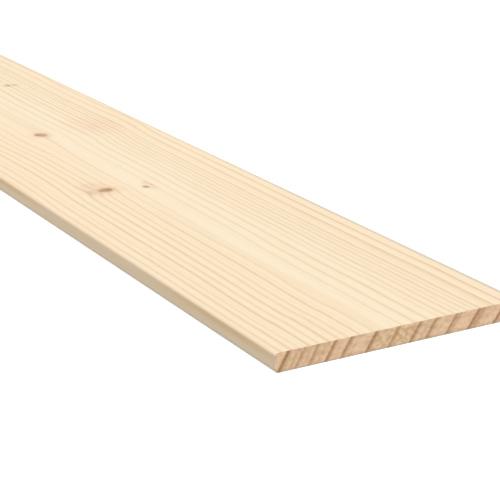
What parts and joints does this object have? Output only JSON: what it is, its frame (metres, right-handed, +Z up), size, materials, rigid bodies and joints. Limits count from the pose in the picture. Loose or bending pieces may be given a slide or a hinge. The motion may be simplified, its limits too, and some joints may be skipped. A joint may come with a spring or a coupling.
{
  "type": "timber plank",
  "caption": "Planed softwood plank: flat wide board with eased long corners and square saw-cut ends, for shelving, cladding or joinery.",
  "frame": {"origin": "centre of the underside", "axes": "+X along the grain and the length, +Y across the width, +Z up through the thickness"},
  "size_m": [2, 0.2, 0.014],
  "materials": {
    "softwood": "planed bare spruce, unfinished, matt with a faint sheen"
  },
  "bodies": {
    "root": {"plank": "softwood"}
  },
  "joints": []
}
